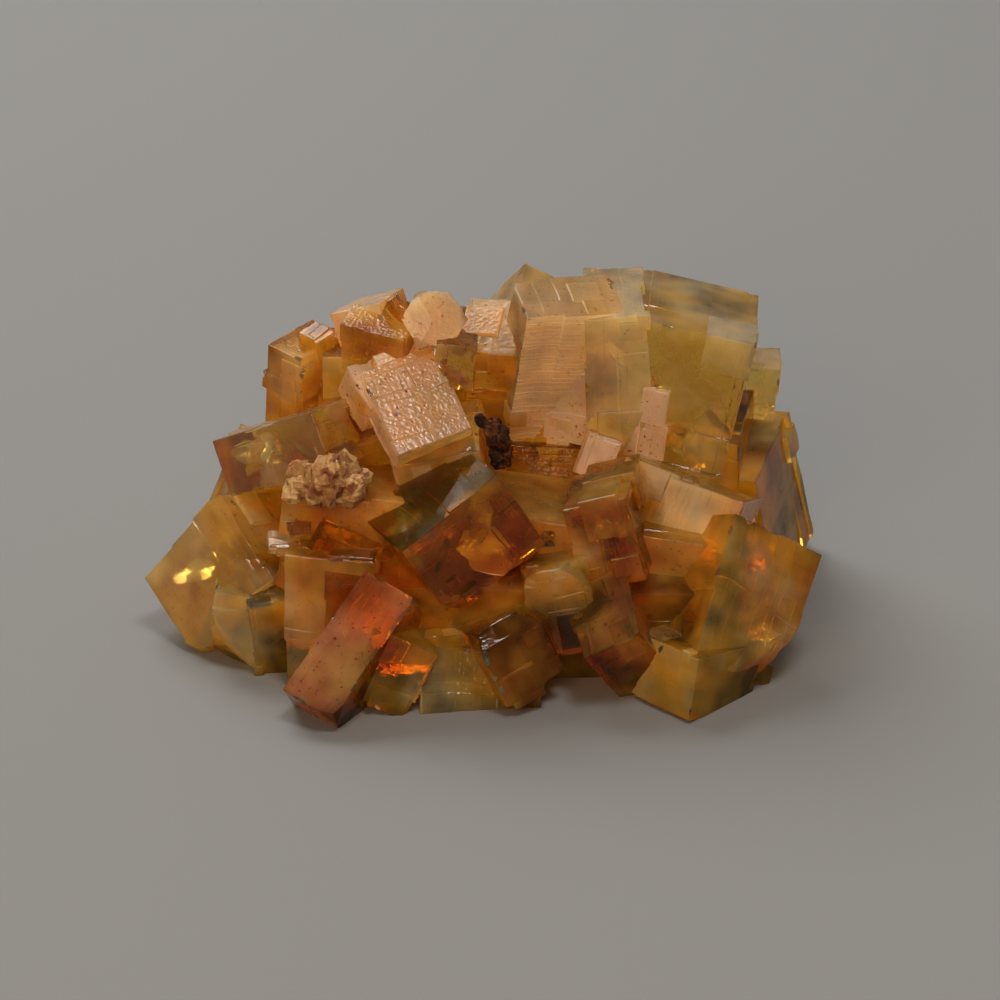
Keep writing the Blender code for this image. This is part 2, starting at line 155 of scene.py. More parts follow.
# Corners knocked off and edges bevelled: the corner's signs, with a nought along a bevelled edge, and how deep
# the cut goes in millimetres.
CHIPS = {
    "ridged_block": (((1, -1, -1), 2.6), ((1, 1, -1), 1.8)),
    "centre_block": (((-1, -1, -1), 0.9),),
    "centre_wedge": (((1, -1, 1), 1.1), ((-1, -1, 1), 0.7)),
    "broken_step": (((1, -1, 1), 1.1), ((-1, -1, 1), 0.7)),
    "left_block": (((-1, -1, -1), 0.8), ((1, -1, 0), 0.55)),
    "mauve_block": (((-1, -1, -1), 1.2), ((1, -1, -1), 0.8), ((1, -1, 1), 0.8)),
    "left_foot": (((-1, -1, -1), 2.0), ((1, -1, -1), 1.0)),
    "left_wedge": (((-1, -1, -1), 0.8),),
    "front_foot": (((-1, -1, -1), 0.8),),
    "hexagon_cube": (((-1, -1, 1), 2.5),),
}
print(len(LAYOUT), "crystals,", sum(len(chips) for chips in CHIPS.values()), "chips")

# %% [markdown]
# ## One cube as a surface
#
# A cube could come from Blender's own primitive, but a real face isn't plain: it grew in layers, and each layer
# stopped along a straight ledge. A surface written as a function of two parameters gives every face its layers.
# The two parameters are the face's own coordinates, laid out on grid lines. The lines are far apart where nothing
# happens and in close pairs where a ledge's riser stands, so a crisp step costs only two rows of points.

# %% Grid lines
SEED = 17
GRID_STEP = 1.2  # mm, the widest space between two grid lines
RISER = 0.05  # mm, half the width of a ledge's riser
EDGE_BAND = 0.10  # mm, how far from an edge its wear begins
EDGE_WEAR = 0.03  # mm, how far a worn edge lies inside the true one
LEDGES = 5  # ledges across a cube, along each axis
LEDGE_SPAN = 0.88  # share of the half side that they keep to


def axis_lines(half, ledges, more):
    """Grid lines along one axis in mm: even ones, one near each edge, a pair at each ledge, and any more."""
    count = max(4, math.ceil(2 * half / GRID_STEP))
    even = np.linspace(EDGE_BAND - half, half - EDGE_BAND, count)
    lines = np.concatenate([[-half, half], even, ledges - RISER, ledges + RISER, more])
    return np.unique(np.round(lines, 4))


def cube_grid(half, lines):
    """The six faces of a box as grids that share their border points.

    On the face across axis a, the points are (side * half, u, v) in the order a, a + 1, a + 2, with u and v on
    those axes' grid lines. Returns the points, the quads, and each quad's axis and side.
    """
    points, quads, faces, start = [], [], [], 0
    for a in range(3):
        b, c = (a + 1) % 3, (a + 2) % 3
        u, v = np.meshgrid(lines[b], lines[c], indexing="ij")
        index = np.arange(u.size).reshape(u.shape)
        quad = np.stack([index[:-1, :-1], index[1:, :-1], index[1:, 1:], index[:-1, 1:]], -1).reshape(-1, 4)
        for side in (-1, 1):
            face = np.empty(u.shape + (3,))
            face[..., a], face[..., b], face[..., c] = side * half[a], u, v
            points.append(face.reshape(-1, 3))
            quads.append(start + (quad if side > 0 else quad[:, ::-1]))
            faces.append(np.tile((a, side), (len(quad), 1)))
            start += u.size
    points = np.concatenate(points)
    _, first, merged = np.unique(np.round(points, 4), axis=0, return_index=True, return_inverse=True)
    return points[first], merged.reshape(-1)[np.concatenate(quads)], np.concatenate(faces)


demo = cube_grid(np.array([2.0, 2.0, 2.0]), [axis_lines(2.0, np.array([0.5]), [])] * 3)
print("a 4 mm cube with one ledge an axis:", len(demo[0]), "points,", len(demo[1]), "quads")

# %% [markdown]
# ## Growth layers, striations and worn edges
#
# The relief of a face is a sum of thin rectangular layers that begin and end at ledges, each at most a seventh of
# a millimetre thick and a little tilted, so that neighbouring layers catch the light differently. Some faces also
# carry striations: small steps that climb one way, each with a short steep tread and a long slope, so that all
# the treads light up together. A layer that reaches an edge carries on round it: each point moves out along all
# three axes, by the relief of that axis times the sixth power of how far out it lies, so the move fades quickly
# away from the edge and the faces never come apart. At the end, planes strike off the corners and edges that
# chipped.

# %% Relief
LAYERS = 4  # growth layers on each face
LAYER_MOST = 0.14  # mm, the thickest layer
LAYER_THIN = 3.0  # the greater, the more of the layers are thin
LAYER_TILT = 0.025  # rise over run
ISLANDS = 0.35  # share of the layers that also stop short the other way
WANDER = 0.16  # mm, how far a ledge strays from a straight line
EDGE_POWER = 6

# Striated faces: axis and side of the face, the axis that the steps climb, their spacing and depth in mm, and
# which way along that axis their treads look.
STRIATIONS = {
    "striated_block": (1, -1, 2, 0.36, 0.08, 1),
    "left_block": (2, 1, 0, 0.40, 0.06, 1),
    "ridged_block": (1, -1, 0, 0.90, 0.05, -1),
    "clear_cube": (2, 1, 1, 0.50, 0.04, 1),
    "mauve_block": (2, 1, 0, 0.60, 0.03, 1),
    "ledge_cube": (1, -1, 0, 0.60, 0.05, 1),
}
TREAD = 0.35  # how far a tread runs along the climb, as a share of its depth
BUSY = {"pink_slab": (7, 10)}  # cubes with more ledges, and layers on a face


def growth_layers(half, ledges, count, draw):
    """Random layers for the six faces: (axis, side, u from, u to, v from, v to, rise, tilt along u, tilt along v)."""
    layers = []
    for axis in range(3):
        across = (axis + 1) % 3, (axis + 2) % 3
        for side in (-1, 1):
            for _ in range(count):
                spans = []
                stops_short = draw.choice(across)
                for other in across:
                    ends = [-2 * half[other], 2 * half[other]]
                    if other == stops_short or draw.uniform() < ISLANDS:
                        ends[draw.choice(2)] = draw.choice(ledges[other])
                    spans += ends
                rise = draw.choice((-1, 1)) * LAYER_MOST * draw.uniform(0, 1) ** LAYER_THIN
                layers.append((axis, side, *spans, rise, *draw.uniform(-LAYER_TILT, LAYER_TILT, 2)))
    return layers


def relief(points, axis, layers, ridges):
    """How far out each point's face on this axis stands: the sum of the layers that cover it, plus its ridges."""
    u, v = points[:, (axis + 1) % 3], points[:, (axis + 2) % 3]
    side_of = np.sign(points[:, axis])
    height = np.zeros(len(points))
    for on, side, u0, u1, v0, v1, rise, tilt_u, tilt_v in layers:
        if on == axis:
            inside = (u > u0) & (u < u1) & (v > v0) & (v < v1) & (side_of == side)
            height += inside * (rise + tilt_u * u + tilt_v * v)
    for on, side, along, places, heights in ridges:
        if on == axis:
            height += (side_of == side) * np.interp(points[:, along], places, heights)
    return height


def wander(points, half, draw):
    """A slow sideways sway that fades to nothing at the cube's edges, so that ledges aren't ruled lines.

    Along each axis it is WANDER times a sine of the two other coordinates, times one minus the fourth power of
    how far out the point lies along that axis.
    """
    sway = np.zeros_like(points)
    for axis in range(3):
        across = points[:, (axis + 1) % 3], points[:, (axis + 2) % 3]
        pace, start = draw.uniform(0.6, 1.6, 2), draw.uniform(0, 2 * np.pi, 2)
        fade = 1 - (np.abs(points[:, axis]) / half[axis]) ** 4
        sway[:, axis] = WANDER * fade * np.sin(pace[0] * across[0] + start[0]) * np.sin(pace[1] * across[1] + start[1])
    return sway


def grown_cube(name, size, draw):
    """One cube's points in its own frame in mm, its quads and the face each quad is on."""
    half = np.array(size) / 2
    ledge_count, layer_count = BUSY.get(name, (LEDGES, LAYERS))
    ledges = [draw.uniform(-LEDGE_SPAN, LEDGE_SPAN, ledge_count) * reach for reach in half]
    layers = growth_layers(half, ledges, layer_count, draw)
    more, ridges = [[], [], []], []
    if name in STRIATIONS:
        axis, side, along, spacing, rise, looking = STRIATIONS[name]
        starts = np.arange(EDGE_BAND - half[along], half[along] - EDGE_BAND - spacing, spacing)
        starts = starts + draw.uniform(0, 0.6, len(starts)) * spacing
        depths = rise * draw.uniform(0.3, 1.0, len(starts))
        places = np.stack([starts, starts + TREAD * depths], -1).ravel()
        heights = np.stack([depths, np.zeros(len(starts))], -1).ravel()
        if looking < 0:
            places, heights = -places[::-1], heights[::-1]
        ridges.append((axis, side, along, places, heights))
        more[along] = places
    chips = [(np.array(corner) / np.linalg.norm(corner), corner * half, depth) for corner, depth in CHIPS.get(name, ())]
    for outward, tip, depth in chips:
        if 0 in outward:
            for axis in np.flatnonzero(outward):
                more[axis] = np.sign(outward[axis]) * (half[axis] - math.sqrt(2) * depth * np.linspace(0, 1, 5)[1:])
    lines = [axis_lines(half[k], ledges[k], more[k]) for k in range(3)]
    points, quads, faces = cube_grid(half, lines)
    out = np.zeros_like(points)
    for axis in range(3):
        reach = np.abs(points[:, axis]) / half[axis]
        out[:, axis] = np.sign(points[:, axis]) * reach**EDGE_POWER * relief(points, axis, layers, ridges)
    on_face = np.isclose(np.abs(points), half)
    worn = on_face & (on_face.sum(axis=1) > 1)[:, None]
    points = points + out + wander(points, half, draw) - np.sign(points) * worn * EDGE_WEAR
    for outward, tip, depth in chips:
        points = points - np.maximum((points - tip) @ outward + depth, 0)[:, None] * outward
    return points, quads, faces


# %% [markdown]
# ## Growing the cubes together
#
# Each cube becomes a mesh that remembers two things for the material. `grown` is the corner's place in the cube's
# own frame, so that frost and striations line up with the crystal and not with the world. `skin` holds the three
# looks of the layout, a little different on each of the six faces. The Manifold solver keeps both through the
# union. A cube that lies wholly inside the others vanishes in it, and so does every wall inside the cluster,
# which is what makes the result one piece of glass and not a heap of them.

# %% Meshes of the cubes
SKIN_VARIES = 0.16  # how much a face's looks differ from its cube's

# Faces that look unlike the rest of their cube, by cube, axis and side.
FACE_SKINS = {
    ("mauve_block", 0, 1): (0.30, 0.30, 0.85),
    ("clear_block", 2, 1): (0.45, 0.05, 0.30),
    ("right_block", 0, 1): (0.48, 0.10, 0.60),
    ("striated_block", 1, -1): (0.93, 0.35, 0.00),
    ("striated_block", 0, -1): (0.40, 0.10, 0.00),
    ("left_block", 0, 1): (0.45, 0.75, 0.30),
    ("pink_slab", 2, 1): (0.76, 0.90, 0.20),
    ("pink_slab", 1, -1): (0.50, 0.00, 0.00),
}


def mesh_of(name, points, faces):
    mesh = bpy.data.meshes.new(name)
    mesh.from_pydata(points.tolist(), [], faces)
    mesh.update()
    return mesh


def put_attribute(mesh, name, kind, domain, values):
    key = "vector" if kind == "FLOAT_VECTOR" else "value"
    mesh.attributes.new(name, kind, domain).data.foreach_set(key, values.astype(np.float32).ravel())


def cube_mesh(number, name):
    size, at, turn, looks = LAYOUT[name]
    draw = np.random.default_rng([SEED, number])
    points, quads, faces = grown_cube(name, size, draw)
    turned = np.array(Euler(np.radians(turn)).to_matrix())
    placed = points @ turned.T + np.array(at) + LAYOUT_TO_FRAME
    mesh = mesh_of(name, placed * MM, quads.tolist())
    put_attribute(mesh, "grown", "FLOAT_VECTOR", "CORNER", (points * MM)[quads])
    skins = np.tile(looks, (len(quads), 1)).astype(float)
    for axis in range(3):
        for side in (-1, 1):
            here = (faces == (axis, side)).all(axis=1)
            varied = np.array(looks) + draw.uniform(-SKIN_VARIES, SKIN_VARIES, 3)
            skins[here] = FACE_SKINS.get((name, axis, side), varied)
    put_attribute(mesh, "skin", "FLOAT_VECTOR", "FACE", np.clip(skins, 0, 1))
    return mesh


cubes = bpy.data.collections.new("cubes")
bpy.context.scene.collection.children.link(cubes)
for number, name in enumerate(LAYOUT):
    cubes.objects.link(bpy.data.objects.new(name, cube_mesh(number, name)))

# %% [markdown]
# ## Small cubes on the big ones
#
# A growing face starts new, small cubes that stand parallel to it, most of all along its edges, which is why the
# surface of a real cluster is stepped and blocky at every size. They share the big cube's frame, so they need
# only a place on one of its faces. Each one stands out by a few tenths of a millimetre.

# %% Small cubes
SMALL_PER_CUBE = 3
SMALL_SIZES = (0.9, 3.4)  # mm, the side of a small cube
STANDS_OUT = (0.05, 0.26)  # mm
EDGEWARD = 0.55  # below 1, the small cubes crowd toward the edges
PLAIN = ("hexagon_cube", "pink_slab", "pink_far_slab", "saddle_peak", "pale_cube", "clear_cube")  # cubes without any


def mesh_array(items, key, width, kind=float):
    values = np.empty(len(items) * width, dtype=kind)
    items.foreach_get(key, values)
    return values.reshape(-1, width) if width > 1 else values


def marked(mesh, own, looks):
    """Writes a mesh's places in a crystal's frame and its looks, for the material."""
    corners = mesh_array(mesh.loops, "vertex_index", 1, int)
    put_attribute(mesh, "grown", "FLOAT_VECTOR", "CORNER", own[corners] * MM)
    put_attribute(mesh, "skin", "FLOAT_VECTOR", "FACE", np.tile(looks, (len(mesh.polygons), 1)))


def to_frame(name, own):
    """Points from a crystal's own frame to the shared one, in metres."""
    _, at, turn, _ = LAYOUT[name]
    turned = np.array(Euler(np.radians(turn)).to_matrix())
    return (own @ turned.T + np.array(at) + LAYOUT_TO_FRAME) * MM


def is_open(name, place, margin):
    """Whether a point of a cube's own frame lies clear of every other cube, by a margin in mm."""
    point = to_frame(name, place) / MM
    for other, (size, at, turn, _) in LAYOUT.items():
        turned = np.array(Euler(np.radians(turn)).to_matrix())
        inside = np.abs((point - np.array(at) - LAYOUT_TO_FRAME) @ turned) < np.array(size) / 2 + margin
        if other != name and inside.all():
            return False
    return True


def small_cubes(number, name):
    """Small boxes over a cube's open faces, as (points in the cube's frame, quads) pairs."""
    half = np.array(LAYOUT[name][0]) / 2
    draw = np.random.default_rng([SEED, 300 + number])
    found = []
    for _ in range(SMALL_PER_CUBE * 3):
        axis, side = draw.integers(3), draw.choice((-1, 1))
        box = draw.uniform(0, 1) ** 2 * (SMALL_SIZES[1] - SMALL_SIZES[0]) + SMALL_SIZES[0]
        own_half = box * draw.uniform(0.35, 0.65, 3)
        middle = draw.choice((-1, 1), 3) * draw.uniform(0, 1, 3) ** EDGEWARD * (half - 0.6 * own_half)
        middle[axis] = side * (half[axis] + draw.uniform(*STANDS_OUT) - own_half[axis])
        tip = middle.copy()
        tip[axis] = side * (half[axis] + STANDS_OUT[1])
        if is_open(name, tip, 0.0) and own_half[axis] < half[axis]:
            lines = [np.array([-h, EDGE_BAND - h, h - EDGE_BAND, h]) for h in own_half]
            points, quads, _ = cube_grid(own_half, lines)
            worn = (np.isclose(np.abs(points), own_half)).sum(axis=1) > 1
            found.append((points - np.sign(points) * worn[:, None] * EDGE_WEAR + middle, quads.tolist()))
    return found[:SMALL_PER_CUBE]


small = 0
for number, (name, (size, _, _, looks)) in enumerate(LAYOUT.items()):
    if name in MASSES or name in PLAIN or min(size) < 3:
        continue
    draw = np.random.default_rng([SEED, 400 + number])
    for points, faces in small_cubes(number, name):
        mesh = mesh_of("small_cube", to_frame(name, points), faces)
        marked(mesh, points, np.clip(np.array(looks) + draw.uniform(-0.5, 0.5, 3) * SKIN_VARIES, 0, 1))
        cubes.objects.link(bpy.data.objects.new("small_cube", mesh))
        small += 1
print(small, "small cubes")


# %% The union, cut flat
GROUND_SIDE = 90.0  # mm
GROUND_DEPTH = 20.0


def box_object(name, low, high):
    mesh = bpy.data.meshes.new(name)
    shape = bmesh.new()
    bmesh.ops.create_cube(shape, size=1.0)
    corners = np.array([low, high])
    bmesh.ops.scale(shape, vec=(corners[1] - corners[0]) * MM, verts=shape.verts)
    bmesh.ops.translate(shape, vec=corners.mean(axis=0) * MM, verts=shape.verts)
    shape.to_mesh(mesh)
    shape.free()
    return bpy.data.objects.new(name, mesh)


def boolean(obj, operation, operand):
    """Adds a Manifold Boolean with an object or a whole collection."""
    modifier = obj.modifiers.new(operation.title(), "BOOLEAN")
    modifier.operation = operation
    modifier.solver = "MANIFOLD"
    if isinstance(operand, bpy.types.Collection):
        modifier.operand_type = "COLLECTION"
        modifier.collection = operand
    else:
        modifier.object = operand


def worked_out(obj, name):
    """The object's mesh after its modifiers, as a new mesh."""
    graph = bpy.context.evaluated_depsgraph_get()
    mesh = bpy.data.meshes.new_from_object(obj.evaluated_get(graph))
    mesh.name = name
    return mesh


half_side = GROUND_SIDE / 2
ground = box_object("ground", (-half_side, -half_side, -GROUND_DEPTH), (half_side, half_side, 0))
seed_cube = bpy.data.objects.new("seed_cube", cubes.objects["middle_mass"].data.copy())
for helper in (ground, seed_cube):
    bpy.context.scene.collection.objects.link(helper)
boolean(seed_cube, "UNION", cubes)
boolean(seed_cube, "DIFFERENCE", ground)
cluster_mesh = worked_out(seed_cube, "amber_crystals")
print(len(cluster_mesh.vertices), "points and", len(cluster_mesh.polygons), "faces after the union")

# %% [markdown]
# ## Broken edges
#
# A raw cluster has been knocked about: where two faces meet, splinters are gone, and the foot that was broken off
# the rock is ragged. A splinter's hole is the shape of a small faceted stone. The stone is a ball whose points
# are pulled in to the nearest of ten planes, six of which make a box, and the Boolean takes it away along the
# cubes' edges.

# %% The stones
STONE_ROUND = 14
STONE_HIGH = 8


def stone(radius, planes, draw, least=0.62):
    """A faceted stone: a ball of unit directions, each as far out as the nearest plane lets it be. Six planes make
    a box that is turned at random, and the rest strike its corners off.

    A plane at the distance h with the normal n meets the direction d at h / (n dot d). Distances are between
    the least share and all of the radius. Returns points in mm and faces.
    """
    box, _ = np.linalg.qr(draw.normal(size=(3, 3)))
    normals = draw.normal(size=(planes, 3))
    normals = np.concatenate([box, -box, normals / np.linalg.norm(normals, axis=1)[:, None]])
    heights = radius * draw.uniform(least, 1.0, planes + 6)
    polar, around = np.meshgrid(
        np.linspace(0, np.pi, STONE_HIGH + 1)[1:-1],
        np.linspace(0, 2 * np.pi, STONE_ROUND, endpoint=False),
        indexing="ij",
    )
    ball = np.stack([np.sin(polar) * np.cos(around), np.sin(polar) * np.sin(around), np.cos(polar)], -1).reshape(-1, 3)
    ball = np.concatenate([ball, [[0, 0, 1], [0, 0, -1]]])
    facing = ball @ normals.T
    reach = np.where(facing > 0.05, heights / np.maximum(facing, 0.05), np.inf).min(axis=1)
    points = ball * np.minimum(reach, 1.5 * radius)[:, None]
    ring = np.arange(STONE_ROUND)
    after = np.roll(ring, -1)
    rows = range(0, (STONE_HIGH - 2) * STONE_ROUND, STONE_ROUND)
    quads = [np.stack([r + ring, r + STONE_ROUND + ring, r + STONE_ROUND + after, r + after], -1) for r in rows]
    top, low = len(ball) - 2, len(ball) - 1
    last = (STONE_HIGH - 2) * STONE_ROUND
    caps = np.concatenate([
        np.stack([np.full_like(ring, top), ring, after], -1),
        np.stack([np.full_like(ring, low), last + after, last + ring], -1),
    ])
    return points, np.concatenate(quads).tolist() + caps.tolist()


# %% Splinters off the edges
BITES_PER_MM = 0.20  # splinters along one millimetre of edge
BITE_SIZES = (0.25, 0.85)  # mm, a splinter's radius
BITE_OUT = 0.45  # how far off the edge a stone's middle lies, as a share of its radius
BITE_CLEAR = 0.5  # how far it stays from the other cubes, as a share of its radius


def edge_bites(number, name):
    """Stones along a cube's open edges, as (points in the cube's frame, faces) pairs."""
    size, at, turn, _ = LAYOUT[name]
    half = np.array(size) / 2
    draw = np.random.default_rng([SEED, 500 + number])
    found = []
    for axis in range(3):
        b, c = (axis + 1) % 3, (axis + 2) % 3
        for signs in ((-1, -1), (-1, 1), (1, -1), (1, 1)):
            for _ in range(draw.poisson(BITES_PER_MM * size[axis])):
                radius = draw.uniform(0, 1) ** 2 * (BITE_SIZES[1] - BITE_SIZES[0]) + BITE_SIZES[0]
                middle = np.zeros(3)
                middle[axis] = draw.uniform(-1, 1) * half[axis]
                middle[b] = signs[0] * (half[b] + BITE_OUT * radius)
                middle[c] = signs[1] * (half[c] + BITE_OUT * radius)
                stretch = np.ones(3)
                stretch[axis] = draw.uniform(1.0, 2.2)
                if is_open(name, middle, BITE_CLEAR * radius):
                    points, faces = stone(radius, 4, draw, 0.40)
                    found.append((points * stretch + middle, faces))
    return found


bites = bpy.data.collections.new("bites")
bpy.context.scene.collection.children.link(bites)
for number, name in enumerate(LAYOUT):
    if name in MASSES:
        continue
    for count, (points, faces) in enumerate(edge_bites(number, name)):
        mesh = mesh_of("bite", to_frame(name, points), faces)
        marked(mesh, points, (0.05, 0.1, 0.0))
        bites.objects.link(bpy.data.objects.new("bite", mesh))
whole = bpy.data.objects.new("whole", cluster_mesh)
bpy.context.scene.collection.objects.link(whole)
boolean(whole, "DIFFERENCE", bites)
chipped_mesh = worked_out(whole, "chipped")
for helper in [*bites.objects, whole]:
    bpy.data.objects.remove(helper, do_unlink=True)
bpy.data.collections.remove(bites)
cluster_mesh = chipped_mesh

# %% [markdown]
# ## Only the outer skin
#
# Where several cubes meet they can seal a space between them. Inside a see-through body such a space would look
# like a bubble, so only the largest connected skin stays. Connected skins are found with whole arrays: every
# point starts with its own number, and takes the least number among its neighbours until nothing changes.


# %% Keep the outer skin
def connected_labels(edges, count):
    """One number for each point, the same all over a connected skin."""
    labels = np.arange(count)
    while True:
        lowest = labels[edges].min(axis=1)
        spread = labels.copy()
        np.minimum.at(spread, edges[:, 0], lowest)
        np.minimum.at(spread, edges[:, 1], lowest)
        spread = spread[spread]
        if (spread == labels).all():
            return labels
        labels = spread


def keep_outer_skin(mesh):
    labels = connected_labels(mesh_array(mesh.edges, "vertices", 2, int), len(mesh.vertices))
    skins, counts = np.unique(labels, return_counts=True)
    inner = labels != skins[counts.argmax()]
    shape = bmesh.new()
    shape.from_mesh(mesh)
    shape.verts.ensure_lookup_table()
    bmesh.ops.delete(shape, geom=[shape.verts[i] for i in np.flatnonzero(inner)], context="VERTS")
    shape.to_mesh(mesh)
    shape.free()
    return len(skins) - 1


print("sealed spaces filled:", keep_outer_skin(cluster_mesh))
for helper in [*cubes.objects, ground, seed_cube]:
    bpy.data.objects.remove(helper, do_unlink=True)
bpy.data.collections.remove(cubes)

# %% [markdown]
# ## Cleavage cracks
#
# Fluorite splits along the octahedron, so the cracks inside a cube all lie square to one of its corners. A crack
# is a film of air: light that meets it at a slant is thrown back, which is why it shows as a bright veil. Each one
# is a surface of two parameters, the share of the way out and the angle round, with a front and a back that meet
# at a ragged rim. Taken away from the crystals by a Boolean, it stays as a film inside them, and where it comes
# out through a face it leaves a hairline. A crack can be milky too, and then it is the pale cloud in a cube.

# %% The cracks
CRACK_RINGS = 5
CRACK_STEPS = 22
CRACK_OPEN = 0.045  # mm, half the width of a crack at its middle
CRACK_WAVE = 0.10  # mm, how far a crack bends out of its plane

# Cube, crack's middle in the cube's own frame in mm, corner it faces, radius in mm, how milky it is.
CRACKS = (
    ("clear_block", (1.6, -3.6, -3.4), (1, -1, 1), 1.3, 0.00),
    ("clear_block", (-1.8, -3.4, 0.4), (-1, -1, 1), 1.0, 0.10),
    ("clear_block", (3.4, -3.8, -1.0), (1, 1, 1), 1.0, 0.00),
    ("clear_block", (2.8, -4.3, -4.6), (-1, -1, 1), 0.9, 0.00),
    ("clear_cube", (-1.6, -2.6, 0.4), (1, -1, 1), 1.7, 0.00),
    ("clear_cube", (-0.4, -3.8, 0.2), (-1, -1, 1), 1.1, 0.00),
    ("clear_cube", (2.2, -3.0, -0.4), (-1, -1, -1), 1.2, 0.30),
    ("left_block", (-1.0, -2.6, 1.4), (1, -1, 1), 1.5, 0.10),
    ("left_block", (2.4, -1.8, 0.2), (1, 1, 1), 1.3, 0.00),
    ("centre_block", (0.6, -2.4, -1.6), (1, -1, 1), 2.4, 0.85),
    ("centre_block", (1.6, -3.2, 1.2), (-1, -1, 1), 1.4, 0.20),
    ("centre_block", (-2.0, -2.4, 0.6), (1, -1, -1), 1.2, 0.00),
    ("ridged_block", (-1.0, -3.0, 1.8), (1, -1, 1), 1.6, 0.10),
    ("ridged_block", (1.6, -4.2, -1.6), (-1, -1, 1), 1.3, 0.00),
    ("ridged_block", (2.4, -2.6, 3.0), (1, 1, 1), 1.1, 0.00),
    ("yellow_corner", (0.2, -2.0, 0.2), (1, -1, 1), 1.2, 0.10),
    ("ledge_cube", (1.0, -2.8, 2.0), (-1, -1, 1), 1.4, 0.10),
    ("ledge_cube", (-2.2, -3.2, 0.4), (1, -1, 1), 1.2, 0.30),
    ("right_block", (-1.6, -3.6, 1.8), (1, -1, 1), 1.6, 0.20),
    ("right_block", (3.0, -2.0, -1.0), (1, 1, 1), 1.4, 0.00),
    ("striated_block", (0.4, -1.4, -3.4), (1, -1, 1), 1.2, 0.00),
    ("striated_block", (-1.4, -1.2, 2.0), (-1, -1, 1), 1.0, 0.20),
    ("mauve_block", (0.2, 0.8, 3.4), (1, 1, 1), 1.2, 0.40),
    ("recess_cube", (0.6, -2.4, 0.8), (1, -1, 1), 1.1, 0.10),
    ("mauve_cube", (0.2, -1.8, 1.6), (-1, -1, 1), 1.0, 0.20),
    ("left_step", (-0.6, -2.0, 1.6), (1, -1, 1), 1.2, 0.10),
    ("back_left", (-1.0, 2.0, 1.0), (-1, 1, 1), 1.6, 0.10),
    ("back_middle", (1.0, 2.8, 0.6), (1, 1, 1), 1.6, 0.20),
    ("back_right", (0.6, 2.2, 1.2), (1, 1, -1), 1.3, 0.00),
    ("brown_cube", (-0.4, -1.6, 0.2), (1, -1, 1), 0.8, 0.00),
    ("block_saddle", (0.0, -3.2, 2.8), (1, -1, 1), 1.2, 0.30),
    ("haze_step", (-1.6, -3.0, 0.4), (-1, -1, 1), 1.2, 0.40),
)


def crack_surface(radius, draw):
    """A ragged lens: points in mm round its own middle, with Z through it, and its quads.

    Out to the share s and round to the angle a, a point lies at s * rim(a), and its front and back stand off a
    shared wave by (1 - s squared) times the opening. The rim is the radius times one plus three sines.
    """
    share, angle = np.meshgrid(
        np.linspace(0.08, 1.0, CRACK_RINGS), np.linspace(0, 2 * np.pi, CRACK_STEPS, endpoint=False), indexing="ij"
    )
    turns, sizes = draw.uniform(0, 2 * np.pi, 3), (0.22, 0.12, 0.07)
    rim = 1 + sum(size * np.sin(n * angle + turn) for n, size, turn in zip((2, 3, 7), sizes, turns))
    x, y = radius * share * rim * np.cos(angle), radius * share * rim * np.sin(angle)
    wave = CRACK_WAVE * np.sin(2.2 * x / radius + turns[0]) * np.cos(2.9 * y / radius + turns[1])
    gape = CRACK_OPEN * (1 - share**2)
    front = np.stack([x, y, wave + gape], -1).reshape(-1, 3)
    back = np.stack([x, y, wave - gape], -1)[:-1].reshape(-1, 3)
    ring = np.arange(CRACK_STEPS)
    after = np.roll(ring, -1)
    inner = len(back) - CRACK_STEPS
    top = [np.stack([r + ring, r + CRACK_STEPS + ring, r + CRACK_STEPS + after, r + after], -1)
           for r in range(0, (CRACK_RINGS - 1) * CRACK_STEPS, CRACK_STEPS)]
    low = len(front)
    under = [q[:, ::-1] + low for q in top[:-1]]
    rim_start = (CRACK_RINGS - 1) * CRACK_STEPS
    under.append(np.stack([low + inner + after, rim_start + after, rim_start + ring, low + inner + ring], -1))
    caps = [ring.tolist(), (low + ring[::-1]).tolist()]
    return np.concatenate([front, back]), np.concatenate(top + under).tolist() + caps


def crack_mesh(number, cube, middle, corner, radius, milky):
    draw = np.random.default_rng([SEED, 900 + number])
    points, faces = crack_surface(radius, draw)
    square_to = np.array(Vector(corner).to_track_quat("Z", "Y").to_matrix())
    own = points @ square_to.T + np.array(middle)
    mesh = mesh_of(f"crack_{number}", to_frame(cube, own), faces)
    marked(mesh, own, (milky, 0.0, 0.0))
    return mesh


cracks = bpy.data.collections.new("cracks")
bpy.context.scene.collection.children.link(cracks)
for number, crack in enumerate(CRACKS):
    cracks.objects.link(bpy.data.objects.new(f"crack_{number}", crack_mesh(number, *crack)))
whole = bpy.data.objects.new("whole", cluster_mesh)
bpy.context.scene.collection.objects.link(whole)
boolean(whole, "DIFFERENCE", cracks)
cracked_mesh = worked_out(whole, "amber_crystals")
for helper in [*cracks.objects, whole]:
    bpy.data.objects.remove(helper, do_unlink=True)
bpy.data.collections.remove(cracks)
amber_crystals = bpy.data.objects.new("amber_crystals", cracked_mesh)
bpy.context.scene.collection.objects.link(amber_crystals)
cracked_mesh.calc_loop_triangles()
print(len(CRACKS), "cracks; the crystals:", len(cracked_mesh.loop_triangles), "triangles")

# %% [markdown]
# ## Tools for the finishes
#
# Colours are written as the hex values that a paint program shows and turned to linear light by one function.
# Another function adds a node with its settings and its links in one go, so that each material below reads as a
# list of what it is made of. Pattern scales are worked out from sizes in millimetres: a noise whose features are
# to be s millimetres wide gets a scale of 1 / (s * MM), because the coordinates are in metres.


